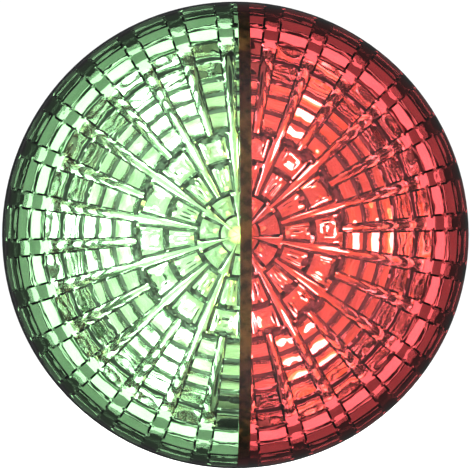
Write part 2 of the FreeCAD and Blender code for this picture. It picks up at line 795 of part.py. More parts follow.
def turned(edges, angle, start):
    """A solid from a closed outline in the XZ plane, turned about the Z axis."""
    face = Part.Face(Part.Wire(Part.sortEdges(edges)[0]))
    face.rotate(Vector(0, 0, 0), FORWARD, start)
    return face.revolve(Vector(0, 0, 0), FORWARD, angle).Solids[0]


def shell_section():
    """The lens's section, with a rounded prism between each pair of ring angles."""
    wall, back = size("lens_wall"), size("lens_back")
    outer, inner = dome_point(0, 0), dome_point(wall, 0)
    skirt = straight(outer, Vector(outer.x, 0, back), Vector(inner.x, 0, back), inner)
    plain = dome_arc(wall, 0, RING_ANGLES[0])
    prisms = [
        dome_arc(wall, low, high, size("prism_height"))
        for low, high in zip(RING_ANGLES, RING_ANGLES[1:])
    ]
    last = dome_point(wall, RING_ANGLES[-1])
    outer_crown = Vector(0, 0, dome_point(0, CROWN_ANGLE).z)
    cap = straight(last, Vector(0, 0, last.z), outer_crown)
    return [*dome_edges(0), *skirt, plain, *prisms, *cap]


def filled_section(inset):
    """The section of everything inside the lens at one inset, from behind its skirt."""
    back = size("lens_back") - 1
    skirt_end = dome_point(inset, 0)
    crown = Vector(0, 0, dome_point(inset, CROWN_ANGLE).z)
    sides = straight(crown, Vector(0, 0, back), Vector(skirt_end.x, 0, back), skirt_end)
    return [*dome_edges(inset), *sides]


def channels():
    """Cutters for the plain radial channels between the sectors of each zone."""
    wall = size("lens_wall")
    deep = wall + size("prism_height") + CHANNEL_CLEARANCE
    cutters = []
    outer_count = ZONES[0][2]
    for first, last, count, continued in ZONES:
        low, high = RING_ANGLES[first], RING_ANGLES[last]
        section = [
            dome_arc(wall, low, high),
            *straight(dome_point(wall, high), dome_point(deep, high)),
            dome_arc(deep, low, high),
            *straight(dome_point(deep, low), dome_point(wall, low)),
        ]
        width = CHANNEL_WIDTH * outer_count / count
        for i in range(count):
            clockwise_from_top = FIRST_CHANNEL + 360.0 * (continued / outer_count + i / count)
            cutters.append(turned(section, width, 90.0 - clockwise_from_top - width / 2))
    return cutters


def left_of(limit):
    """A slab of space to the left of x = limit that holds the whole lens."""
    reach = 2 * size("lens_radius")
    return Part.makeBox(reach + limit, 2 * reach, reach, Vector(-reach, -reach, 0))


def lens_halves():
    """Green and red halves joined by a lap: the green lip lies inside, the red lip outside."""
    lap, gap, middle = size("seam_lap"), size("bond_gap"), size("lens_wall") / 2
    cutters = channels()
    green_side = turned(shell_section(), 180, 90).cut(cutters)
    red_side = turned(shell_section(), 180, 270).cut(cutters)
    lip_space = turned(filled_section(middle + gap / 2), 180, 270).common(left_of(lap))
    lip_room = turned(filled_section(middle - gap / 2), 180, 270).common(left_of(lap + gap))
    green = green_side.fuse(red_side.common(lip_space))
    red = red_side.cut(left_of(gap)).cut(lip_room)
    return [
        shaped("lens_starboard_green", largest_solid(green)),
        shaped("lens_port_red", largest_solid(red)),
    ]


def largest_solid(shape):
    """The main solid of a boolean's result."""
    return max(shape.Solids, key=lambda solid: solid.Volume)


def bayonet_ring():
    """Ring bonded into the lens skirt, with lugs that turn in the collar's slots."""
    body = new_body("bayonet_ring")
    outer = "dims.lens_radius - dims.lens_wall - dims.bond_gap"
    revolve(
        body,
        [
            ("dims.ring_inner", "dims.ring_back"),
            (outer, "dims.ring_back"),
            (outer, "dims.ring_front"),
            ("dims.ring_inner", "dims.ring_front"),
        ],
    )
    sketch = new_sketch(body, "XZ_Plane")
    inner, outside = "dims.ring_inner - dims.lug_reach", "dims.ring_inner + 0.5"
    front = "dims.lug_back + dims.lug_thick"
    draw_outline(
        sketch,
        [(inner, "dims.lug_back"), (outside, "dims.lug_back"), (outside, front), (inner, front)],
    )
    lug = body.newObject("PartDesign::Revolution", "lug")
    lug.Profile = sketch
    lug.ReferenceAxis = (sketch, ["V_Axis"])
    lug.Midplane = True
    lug.setExpression("Angle", "dims.lug_angle")
    polar(body, [lug], "dims.lug_count")
    return body


# ---------------------------------------------------------------- build and export


def build():
    """Makes every sub-part in the working frame."""
    return [
        base_housing(),
        mounting_gasket(),
        cable_grommet(),
        lens_seal(),
        mounting_hole_seals(),
        threaded_inserts(),
        circuit_board(),
        *diodes(),
        led_leads(),
        reflector(),
        reflector_screws(),
        current_resistors(),
        bridge_rectifier(),
        voltage_regulator(),
        smoothing_capacitor(),
        terminal_block(),
        terminal_screws(),
        *lens_halves(),
        bayonet_ring(),
    ]


def turn_into_own_frame(parts):
    """Turns every sub-part from the working frame into the part's own frame."""
    for part in parts:
        part.Placement = FRAME.multiply(part.Placement)
    doc.recompute()


def check(parts):
    """Stops the build if any object failed or any sub-part isn't a sound solid."""
    for item in doc.Objects:
        if "Invalid" in item.State or "Error" in item.State:
            raise RuntimeError(f"{item.Label} failed: {item.State}")
    for part in parts:
        if part.Shape.isNull() or not part.Shape.isValid() or not part.Shape.Solids:
            raise RuntimeError(f"{part.Label} has no sound solid")


def main():
    parts = build()
    doc.recompute()
    turn_into_own_frame(parts)
    check(parts)
    os.makedirs("parts", exist_ok=True)
    for part in parts:
        part.Shape.exportStep(os.path.join("parts", part.Label + ".step"))
        print(f"{part.Label}: {len(part.Shape.Solids)} solids, {part.Shape.Volume:.1f} mm3")


main()
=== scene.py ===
# A bow navigation light: twist-off dome lens, green to starboard and red to port, lit by seven LEDs
import math

import bmesh
import bpy
from mathutils import Matrix, Vector, noise


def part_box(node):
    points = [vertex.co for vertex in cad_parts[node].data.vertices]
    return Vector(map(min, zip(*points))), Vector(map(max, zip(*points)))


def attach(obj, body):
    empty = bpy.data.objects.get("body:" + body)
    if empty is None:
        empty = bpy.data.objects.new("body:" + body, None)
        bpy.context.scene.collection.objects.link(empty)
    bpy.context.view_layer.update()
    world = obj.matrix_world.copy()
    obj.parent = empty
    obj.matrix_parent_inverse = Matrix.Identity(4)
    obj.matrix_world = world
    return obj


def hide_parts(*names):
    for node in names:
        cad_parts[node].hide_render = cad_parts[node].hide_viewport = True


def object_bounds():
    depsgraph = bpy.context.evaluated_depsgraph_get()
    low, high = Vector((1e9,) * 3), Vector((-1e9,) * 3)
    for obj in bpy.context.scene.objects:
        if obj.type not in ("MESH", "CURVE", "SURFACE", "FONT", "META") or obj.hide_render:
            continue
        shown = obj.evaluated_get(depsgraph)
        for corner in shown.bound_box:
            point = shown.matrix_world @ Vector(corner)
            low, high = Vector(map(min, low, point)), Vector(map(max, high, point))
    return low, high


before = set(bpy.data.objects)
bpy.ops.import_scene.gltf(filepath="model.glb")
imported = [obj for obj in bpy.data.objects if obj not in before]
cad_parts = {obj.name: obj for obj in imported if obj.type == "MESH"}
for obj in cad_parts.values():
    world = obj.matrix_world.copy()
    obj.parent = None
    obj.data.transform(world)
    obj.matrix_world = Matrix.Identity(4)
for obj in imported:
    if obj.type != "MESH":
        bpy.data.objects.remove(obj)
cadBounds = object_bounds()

mm = 0.001
toRow = Matrix.Rotation(math.radians(90), 4, "X")  # working axes (Z out of the lens) to the row's
sharpAngle = 30.0  # degrees, from which an edge is drawn sharp
rippleSize = 6.0   # mm, of the melt's ripple in the lens
hazeSize = 0.8     # mm, of the milkiness in the LEDs' epoxy


def hexColour(text):
    # sRGB hex to the linear values that Blender's sockets want
    parts = [int(text[i:i + 2], 16) / 255 for i in (1, 3, 5)]
    linear = [c / 12.92 if c <= 0.04045 else ((c + 0.055) / 1.055) ** 2.4 for c in parts]
    return (*linear, 1.0)


def addNode(tree, kind, settings=None, links=None):
    # settings: attribute or input name to value; links: input name to the output that feeds it
    node = tree.nodes.new(kind)
    for name, value in (settings or {}).items():
        if isinstance(name, str) and hasattr(node, name):
            setattr(node, name, value)
        else:
            node.inputs[name].default_value = value
    for name, output in (links or {}).items():
        tree.links.new(output, node.inputs[name])
    return node


def newMaterial(name):
    material = bpy.data.materials.new(name)
    material.use_nodes = True
    tree = material.node_tree
    tree.nodes.clear()
    out = tree.nodes.new("ShaderNodeOutputMaterial")
    coords = tree.nodes.new("ShaderNodeTexCoord")
    return material, tree, out, coords.outputs["Object"]


def surface(name, look):
    # what every solid finish here shares: two tones in soft patches, a grain in gloss and relief,
    # and, where "edge" is given, edges that are slightly rounded and rubbed paler
    material, tree, out, place = newMaterial(name)
    patches = addNode(tree, "ShaderNodeTexNoise", {"Scale": 1 / (look["patch"] * mm), "Detail": 4.0},
                      {"Vector": place})
    grain = addNode(tree, "ShaderNodeTexNoise", {"Scale": 1 / (look["grain"] * mm), "Detail": 3.0},
                    {"Vector": place})
    spread = look.get("spread", 0.07)
    gloss = addNode(tree, "ShaderNodeMapRange", {
        "From Min": 0.3,
        "From Max": 0.7,
        "To Min": look["roughness"] - spread,
        "To Max": look["roughness"] + spread,
    }, {"Value": grain.outputs["Fac"]})
    relief = addNode(tree, "ShaderNodeBump", {"Strength": look["bump"], "Distance": 0.1 * mm},
                     {"Height": grain.outputs["Fac"]})
    tone = addNode(tree, "ShaderNodeMix", {
        "data_type": "RGBA",
        6: hexColour(look["colour"]),
        7: hexColour(look["tone"]),
    }, {"Factor": patches.outputs["Fac"]})
    colour = tone.outputs[2]
    if "edge" in look:
        rounded = addNode(tree, "ShaderNodeBevel", {"samples": 4, "Radius": look["edge"] * mm})
        tree.links.new(rounded.outputs["Normal"], relief.inputs["Normal"])
        flat = tree.nodes.new("ShaderNodeNewGeometry")
        bend = addNode(tree, "ShaderNodeVectorMath", {"operation": "DOT_PRODUCT"},
                       {0: rounded.outputs["Normal"], 1: flat.outputs["Normal"]})
        rubbed = addNode(tree, "ShaderNodeMapRange", {"From Min": 0.98, "From Max": 0.8, "To Max": 0.55},
                         {"Value": bend.outputs["Value"]})
        worn = addNode(tree, "ShaderNodeMix", {"data_type": "RGBA", 7: hexColour(look["worn"])},
                       {"Factor": rubbed.outputs["Result"], 6: colour})
        colour = worn.outputs[2]
    shader = addNode(tree, "ShaderNodeBsdfPrincipled", {
        "IOR": 1.5,
        "Metallic": look.get("metallic", 0.0),
        "Coat Weight": look.get("coat", 0.0),
        "Coat Roughness": 0.1,
    }, {"Base Color": colour, "Roughness": gloss.outputs["Result"], "Normal": relief.outputs["Normal"]})
    tree.links.new(shader.outputs["BSDF"], out.inputs["Surface"])
    return material, tree, shader, place


def layTint(tree, shader, mask, colour, metallic=None, roughness=None):
    # lays a second finish over the first one where mask is 1
    under = shader.inputs["Base Color"].links[0].from_socket
    over = addNode(tree, "ShaderNodeMix", {"data_type": "RGBA", 7: hexColour(colour)},
                   {"Factor": mask, 6: under})
    tree.links.new(over.outputs[2], shader.inputs["Base Color"])
    if metallic is not None:
        level = addNode(tree, "ShaderNodeMath", {"operation": "MULTIPLY", 1: metallic}, {0: mask})
        tree.links.new(level.outputs[0], shader.inputs["Metallic"])
    if roughness is not None:
        was = shader.inputs["Roughness"].links[0].from_socket
        level = addNode(tree, "ShaderNodeMix", {3: roughness}, {"Factor": mask, 2: was})
        tree.links.new(level.outputs[0], shader.inputs["Roughness"])


def layRelief(tree, shader, height, strength, depth):
    # lays a second relief, depth mm at most, over the one the shader has
    under = shader.inputs["Normal"].links[0].from_socket
    over = addNode(tree, "ShaderNodeBump", {"Strength": strength, "Distance": depth * mm},
                   {"Height": height, "Normal": under})
    tree.links.new(over.outputs["Normal"], shader.inputs["Normal"])


def axisPast(tree, place, axis, centre, reach, fold=False):
    # 1 where a point lies further than reach mm from centre mm along an axis; fold mirrors it first
    split = addNode(tree, "ShaderNodeSeparateXYZ", links={"Vector": place})
    value = split.outputs[axis]
    if fold:
        value = addNode(tree, "ShaderNodeMath", {"operation": "ABSOLUTE"}, {0: value}).outputs[0]
    away = addNode(tree, "ShaderNodeMath", {"operation": "SUBTRACT", 1: centre * mm}, {0: value})
    size = addNode(tree, "ShaderNodeMath", {"operation": "ABSOLUTE"}, {0: away.outputs[0]})
    past = addNode(tree, "ShaderNodeMath", {"operation": "GREATER_THAN", 1: reach * mm}, {0: size.outputs[0]})
    return past.outputs[0]


def paintGlowThrough(tree, shader, place, edge, mask=None):
    # painted glow on white plastic that is no lamp, standing in for the LEDs' light passing through it: its
    # front edge, past edge mm, is brightest, and the green side is brighter than the red
    split = addNode(tree, "ShaderNodeSeparateXYZ", links={"Vector": place})
    side = addNode(tree, "ShaderNodeMapRange", {
        "From Min": -paintedGlow["blend"] * mm,
        "From Max": paintedGlow["blend"] * mm,
        "To Min": paintedGlow["starboard"],
        "To Max": paintedGlow["port"],
    }, {"Value": split.outputs["X"]})
    front = addNode(tree, "ShaderNodeMapRange", {
        "From Min": (paintedGlow["fade"] - edge) * mm,
        "From Max": -edge * mm,
        "To Min": paintedGlow["side"],
        "To Max": 1.0,
    }, {"Value": split.outputs["Y"]})
    level = addNode(tree, "ShaderNodeMath", {"operation": "MULTIPLY"},
                    {0: side.outputs["Result"], 1: front.outputs["Result"]}).outputs[0]
    if mask:
        level = addNode(tree, "ShaderNodeMath", {"operation": "MULTIPLY"}, {0: level, 1: mask}).outputs[0]
    shader.inputs["Emission Color"].default_value = hexColour("#FFFFFF")
    tree.links.new(level, shader.inputs["Emission Strength"])


def pastCircle(tree, place, radius):
    # 1 outside a circle of radius mm round the light's axis
    flat = addNode(tree, "ShaderNodeVectorMath", {"operation": "MULTIPLY", 1: (1, 0, 1)}, {0: place})
    reach = addNode(tree, "ShaderNodeVectorMath", {"operation": "LENGTH"}, {0: flat.outputs["Vector"]})
    past = addNode(tree, "ShaderNodeMath", {"operation": "GREATER_THAN", 1: radius * mm},
                   {0: reach.outputs["Value"]})
    return past.outputs[0]


def circleRelief(tree, shader, place, centre, pitch, depth, strength=0.4):
    # concentric rings or tool marks round an axis through centre, the same on a part turned half round
    split = addNode(tree, "ShaderNodeSeparateXYZ", links={"Vector": place})
    side = addNode(tree, "ShaderNodeMath", {"operation": "SIGN"}, {0: split.outputs["X"]})
    folded = addNode(tree, "ShaderNodeVectorMath", {"operation": "SCALE"},
                     {"Vector": place, "Scale": side.outputs[0]})
    centred = addNode(tree, "ShaderNodeMapping", {"Location": (-centre[0] * mm, 0, -centre[1] * mm)},
                      {"Vector": folded.outputs["Vector"]})
    rings = addNode(tree, "ShaderNodeTexWave", {
        "wave_type": "RINGS",
        "rings_direction": "Y",
        "Scale": math.pi / 10 / (pitch * mm),  # the texture's own rings are pi / 10 apart
        "Distortion": 0.6,
    }, {"Vector": centred.outputs["Vector"]})
    layRelief(tree, shader, rings.outputs["Fac"], strength, depth)


def polycarbonate(name, look):
    # Tinted clear polycarbonate, injection moulded in a polished tool: deep colour that varies a
    # little, crisp refraction and a faint ripple where the melt flowed
    material, tree, out, place = newMaterial(name)
    ripple = addNode(tree, "ShaderNodeTexNoise", {"Scale": 1 / (rippleSize * mm), "Detail": 1.0},
                     {"Vector": place})
    flow = addNode(tree, "ShaderNodeBump", {"Strength": look["ripple"], "Distance": 0.2 * mm},
                   {"Height": ripple.outputs["Fac"]})
    patches = addNode(tree, "ShaderNodeTexNoise", {"Scale": 1 / (look["patch"] * mm), "Detail": 3.0},
                      {"Vector": place})
    spread = addNode(tree, "ShaderNodeMapRange", {"From Min": 0.4, "From Max": 0.6},
                     {"Value": patches.outputs["Fac"]})
    tint = addNode(tree, "ShaderNodeMix", {
        "data_type": "RGBA",
        6: hexColour(look["tint"]),
        7: hexColour(look["tone"]),
    }, {"Factor": spread.outputs["Result"]})
    shader = addNode(tree, "ShaderNodeBsdfPrincipled", {
        "Transmission Weight": 1.0,
        "Roughness": look["roughness"],
        "IOR": 1.585,
    }, {"Base Color": tint.outputs[2], "Normal": flow.outputs["Normal"]})
    tree.links.new(shader.outputs["BSDF"], out.inputs["Surface"])
    return material


def litEpoxy(name, look):
    # Diffused cast epoxy over a lit chip and its yellow phosphor: the dome's tip is whitest and
    # brightest, and the light yellows towards the rim
    material, tree, out, place = newMaterial(name)
    split = addNode(tree, "ShaderNodeSeparateXYZ", links={"Vector": place})
    haze = addNode(tree, "ShaderNodeTexNoise", {"Scale": 1 / (hazeSize * mm)}, {"Vector": place})
    rise = addNode(tree, "ShaderNodeMapRange", {
        "From Min": -look["dimBelow"] * mm,
        "From Max": -look["brightAbove"] * mm,
    }, {"Value": split.outputs["Y"]})
    glow = addNode(tree, "ShaderNodeMapRange", {
        "To Min": look["dim"] * look["strength"],
        "To Max": look["strength"],
    }, {"Value": rise.outputs["Result"]})
    white = addNode(tree, "ShaderNodeMath", {"operation": "MULTIPLY_ADD", 1: 0.4},
                    {0: haze.outputs["Fac"], 2: rise.outputs["Result"]})
    milk = addNode(tree, "ShaderNodeMix", {
        "data_type": "RGBA",
        6: hexColour(look["rimColour"]),
        7: hexColour(look["tipColour"]),
    }, {"Factor": white.outputs[0]})
    shader = addNode(tree, "ShaderNodeBsdfPrincipled", {
        "Base Color": hexColour("#E9ECEC"),
        "Roughness": 0.12,
        "IOR": 1.54,
    }, {"Emission Color": milk.outputs[2], "Emission Strength": glow.outputs["Result"]})
    tree.links.new(shader.outputs["BSDF"], out.inputs["Surface"])
    return material


def finishPiece(name, bm, material, body):
    # bmesh in working axes -> object at the origin with its place in its mesh
    bmesh.ops.transform(bm, matrix=toRow, verts=bm.verts)
    mesh = bpy.data.meshes.new(name)
    bm.to_mesh(mesh)
    bm.free()
    mesh.polygons.foreach_set("use_smooth", [True] * len(mesh.polygons))
    mesh.set_sharp_from_angle(angle=math.radians(sharpAngle))
    obj = bpy.data.objects.new(name, mesh)
    bpy.context.scene.collection.objects.link(obj)
    mesh.materials.append(material)
    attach(obj, body)
    return obj


def spinOutline(points, steps, start=0.0):
    # a chain of (radius, height) points turned fully about Z
    bm = bmesh.new()
    verts = [bm.verts.new((r * math.cos(start), r * math.sin(start), z)) for r, z in points]
    edges = [bm.edges.new(pair) for pair in zip(verts, verts[1:])]
    bmesh.ops.spin(bm, geom=verts + edges, cent=(0, 0, 0), axis=(0, 0, 1), angle=2 * math.pi,
                   steps=steps, use_merge=True)
    bmesh.ops.remove_doubles(bm, verts=bm.verts, dist=1e-7)
    bmesh.ops.recalc_face_normals(bm, faces=bm.faces)
    return bm


# ---- lens

lens = {
    "wall": 2.4,          # mm between the prisms
    "skirtFront": 14.0,   # mm from the hull: where the dome starts
    # degrees up the dome between one ring of prisms and the next
    "rings": [2.0, 9.0, 15.3, 23.5, 31.0, 39.3, 46.5, 51.3, 56.5, 62.5, 70.5, 78.9, 85.2],
    "sectors": [28] * 9 + [14] * 2 + [7],  # prisms round each ring
    "firstChannel": [0] * 9 + [1] * 2 + [3],  # which outer channel each ring's first one continues
    "channelSteps": [6] * 9 + [9] * 2 + [18],  # width of the channels in steps of the spin
    "height": [0.9] * 9 + [0.8] * 2 + [0.6],  # mm, of each ring's prisms
    "framedFrom": 9,      # rings from this one on have flat pads with a raised frame, not round backs
    "padFrame": {"edge": 0.45, "moat": 1.25, "moatWidth": 0.4, "moatDepth": 0.5},  # mm from the pad's edge
    "roundBack": {"reach": 0.97, "endSlope": 2.2, "endPower": 6, "sag": 0.2},  # an outer prism's back
    "groove": 0.25,       # mm, depth of the shallow groove along each channel
    "runOut": 38.0,       # degrees up the dome over which the groove grows to its depth
    "unevenness": [0.28] * 9 + [0.35] * 3,  # how much a prism's height wanders
    "grooveUnevenness": 0.35,
    "waves": ((900.0, 0.4), (330.0, 0.9)),  # of the unevenness: how many to a metre, and their share
    "phase": 9.4,         # degrees clockwise from the top to the first channel
    "stepsPerSector": 20,
    "ringSegments": 9,
    "outerSegments": 40,
    "seamSegments": 60,
    "seamSteps": 360,
    "offCurve": 0.004,    # how far off the dome's inside a vertex may be, as a share of its radius
    "lap": 1.9,           # mm, where the red half lies over the green one
    "glue": 0.03,         # mm
    "green": {"tint": "#9CD19A", "tone": "#93CC92", "patch": 5.0, "roughness": 0.0, "ripple": 0.06},
    "red": {"tint": "#C54A4D", "tone": "#C04549", "patch": 5.0, "roughness": 0.0, "ripple": 0.06},
    "cement": {"tint": "#B6FFB0", "tone": "#3C8A4A", "patch": 1.6, "roughness": 0.3, "ripple": 0.5},
}

low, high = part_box("lens_starboard_green")
lensRadius = (high.z - low.z) / 2
domeTop = -low.y
skirtBack = -high.y
domeBase = lens["skirtFront"] * mm
domeHeight = domeTop - domeBase
wall = lens["wall"] * mm
outerSector = 360 / lens["sectors"][0]


def domePoint(inset, angle):
    turn = math.radians(angle)
    return ((lensRadius - inset) * math.cos(turn), domeBase + (domeHeight - inset) * math.sin(turn))


def lensShell():
    rings, cuts = lens["rings"], lens["ringSegments"]
    inside = [(0.0, domeTop - wall)]
    angles = []
    for ring in range(len(rings) - 1, 0, -1):
        top, bottom = rings[ring], rings[ring - 1]
        angles += [top + (bottom - top) * i / cuts for i in range(cuts)]
    angles += [rings[0], 0.0]
    inside += [domePoint(wall, a) for a in angles]
    skirt = [(lensRadius - wall, skirtBack), (lensRadius, skirtBack)]
    outside = [domePoint(0, 90 * i / lens["outerSegments"]) for i in range(lens["outerSegments"])]
    outline = inside + skirt + outside + [(0.0, domeTop)]
    steps = lens["sectors"][0] * lens["stepsPerSector"]
    return spinOutline(outline, steps, math.radians(90 - lens["phase"]))


def prismLift(ring, angle, clockwise, spot):
    # how far a point of the dome's inside is raised, in metres
    sector = 360 / lens["sectors"][ring]
    channel = lens["channelSteps"][ring] * outerSector / lens["stepsPerSector"]
    fromChannel = (clockwise - lens["firstChannel"][ring] * outerSector + sector / 2) % sector - sector / 2
    t = 2 * (angle - lens["rings"][ring]) / (lens["rings"][ring + 1] - lens["rings"][ring]) - 1
    wander = sum(noise.noise(spot * often) * share for often, share in lens["waves"])
    if abs(fromChannel) < channel / 2:
        hollow = 1 - (2 * fromChannel / channel) ** 2
        deepening = min(1.0, (angle - lens["rings"][0]) / lens["runOut"]) ** 2
        return -lens["groove"] * mm * hollow * deepening * (1 + lens["grooveUnevenness"] * wander)
    aside = (abs(fromChannel) - sector / 2) / ((sector - channel) / 2)
    if ring >= lens["framedFrom"]:
        pad = lens["padFrame"]
        near, far = (domePoint(wall, lens["rings"][i])[0] / mm for i in (ring + 1, ring))
        halfWidth = math.radians(sector - channel) / 2 * (near + far) / 2
        edge = min((1 - abs(t)) * (far - near) / 2, (1 - abs(aside)) * halfWidth)
        moat = math.exp(-((edge - pad["moat"]) / pad["moatWidth"]) ** 2)
        shape = min(1.0, edge / pad["edge"]) - pad["moatDepth"] * moat
    else:
        back = lens["roundBack"]
        ends = min(1.0, back["endSlope"] * (1 - abs(aside) ** back["endPower"]))
        shape = (1 - (back["reach"] * t) ** 2) * ends * (1 - back["sag"] * aside ** 2)
    return lens["height"][ring] * mm * shape * (1 + lens["unevenness"][ring] * wander)


def raisePrisms(bm):
    # each inner vertex moves inwards by its prism's own shape
    rings = lens["rings"]
    for v in bm.verts:
        r = math.hypot(v.co.x, v.co.y)
        if v.co.z <= domeBase or r < 1e-6:
            continue
        across, up = r / (lensRadius - wall), (v.co.z - domeBase) / (domeHeight - wall)
        if abs(math.hypot(across, up) - 1) > lens["offCurve"]:
            continue
        angle = math.degrees(math.atan2(up, across))
        ring = next((i for i in range(len(rings) - 1) if rings[i] - 1e-3 < angle < rings[i + 1] + 1e-3), None)
        if ring is None:
            continue
        clockwise = (90 - math.degrees(math.atan2(v.co.y, v.co.x)) - lens["phase"]) % 360
        lift = prismLift(ring, angle, clockwise, v.co)
        turn = math.atan2(up / (domeHeight - wall), across / (lensRadius - wall))
        inward = Vector((-v.co.x / r * math.cos(turn), -v.co.y / r * math.cos(turn), -math.sin(turn)))
        v.co += inward * lift


def keepSide(bm, x, sign):
    # keeps what is on one side of the plane at x, and closes the cut
    cut = bmesh.ops.bisect_plane(bm, geom=bm.verts[:] + bm.edges[:] + bm.faces[:], dist=1e-7,
                                 plane_co=(x, 0, 0), plane_no=(sign, 0, 0), clear_inner=True)
    rim = [e for e in cut["geom_cut"] if isinstance(e, bmesh.types.BMEdge)]
    bmesh.ops.triangle_fill(bm, use_beauty=True, edges=rim)


def seamStrip(outerInset, innerInset, x0, x1):
    # a layer of the dome and skirt between two insets and two planes
    fine = lens["seamSegments"]
    points = [domePoint(innerInset, 90 * i / fine) for i in range(fine, -1, -1)]
    points[0] = (0.0, domeTop - innerInset)
    points += [(lensRadius - innerInset, skirtBack), (lensRadius - outerInset, skirtBack)]
    points += [domePoint(outerInset, 90 * i / fine) for i in range(fine)] + [(0.0, domeTop - outerInset)]
    bm = spinOutline(points, lens["seamSteps"])
    keepSide(bm, x0, 1)
    keepSide(bm, x1, -1)
    return bm


def joinMeshes(parts):
    joined = bmesh.new()
    for part in parts:
        scratch = bpy.data.meshes.new("scratch")
        part.to_mesh(scratch)
        part.free()
        joined.from_mesh(scratch)
        bpy.data.meshes.remove(scratch)
    return joined


def makeLens():
    lap, glue, middle = lens["lap"] * mm, lens["glue"] * mm, wall / 2
    greenSide = lensShell()
    raisePrisms(greenSide)
    redSide = greenSide.copy()
    keepSide(greenSide, 0.0, -1)
    keepSide(redSide, lap + glue, 1)
    greenLip = seamStrip(middle + glue / 2, wall, 0.0, lap)
    redLip = seamStrip(0.0, middle - glue / 2, glue, lap + glue)
    green = finishPiece("lensGreenMoulding", joinMeshes([greenSide, greenLip]),
                        polycarbonate("greenPolycarbonate", lens["green"]), "lens")
    red = finishPiece("lensRedMoulding", joinMeshes([redSide, redLip]),
                      polycarbonate("redPolycarbonate", lens["red"]), "lens")
    finishPiece("seamCement", seamStrip(middle - glue / 3, middle + glue / 3, glue, lap),
                polycarbonate("solventCement", lens["cement"]), "lens")
    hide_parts("lens_starboard_green")
    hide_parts("lens_port_red")
    print("lens:", len(green.data.polygons), "and", len(red.data.polygons), "faces")


makeLens()

# ---- LEDs

led = {
    "count": 6,           # round the one in the middle
    # mm: the circle they stand on, the body, the rim at its foot, the flat on that rim, the board below
    "circle": 16.0,
    "radius": 2.5,
    "height": 8.6,
    "rim": 2.85,
    "rimHeight": 1.0,
    "flat": 2.62,
    "seat": 12.62,
    "domeSegments": 10,
    "steps": 32,
    # how strongly each glows, the share left below dimBelow mm from the hull, and its two colours
    "centre": {"strength": 7.0, "dim": 0.05, "dimBelow": 20.7, "brightAbove": 21.15,
               "tipColour": "#FFE9A6", "rimColour": "#FFD970"},
    "starboard": {"strength": 240.0, "dim": 0.8, "dimBelow": 14.6, "brightAbove": 20.4,
                  "tipColour": "#FFFFFF", "rimColour": "#F6FFEC"},
    "port": {"strength": 46.0, "dim": 0.18, "dimBelow": 17.6, "brightAbove": 20.6,
             "tipColour": "#FFF0DC", "rimColour": "#FFC23A"},
}


def ledBody(x, y):
    radius, top = led["radius"], led["seat"] + led["height"]
    rimTop = led["seat"] + led["rimHeight"]
    turns = [math.pi / 2 * i / led["domeSegments"] for i in range(led["domeSegments"])]
    dome = [(radius * math.cos(t), top - radius + radius * math.sin(t)) for t in turns]
    foot = [(0, led["seat"]), (led["rim"], led["seat"]), (led["rim"], rimTop), (radius, rimTop)]
    bm = spinOutline([(r * mm, z * mm) for r, z in foot + dome + [(0, top)]], led["steps"])
    keepSide(bm, -led["flat"] * mm, 1)  # the flat on the rim marks the cathode
    bmesh.ops.translate(bm, verts=bm.verts, vec=Vector((x, y, 0)) * mm)
    return bm


def makeLeds():
    turns = [2 * math.pi * i / led["count"] for i in range(led["count"])]
    circle = [(led["circle"] * math.cos(t), led["circle"] * math.sin(t)) for t in turns]
    groups = (("ledCentre", "centre", "led_centre", [(0.0, 0.0)]),
              ("ledsStarboard", "starboard", "leds_starboard", [p for p in circle if p[0] < 0]),
              ("ledsPort", "port", "leds_port", [p for p in circle if p[0] > 0]))
    for name, kind, node, places in groups:
        bodies = joinMeshes([ledBody(x, y) for x, y in places])
        piece = finishPiece(name, bodies, litEpoxy(kind + "LitEpoxy", led[kind]), "base")
        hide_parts(node)
    print("LEDs:", len(circle) + 1)


makeLeds()

# ---- finishes of the pieces whose shape the frame already has; patch, grain and edge are in mm

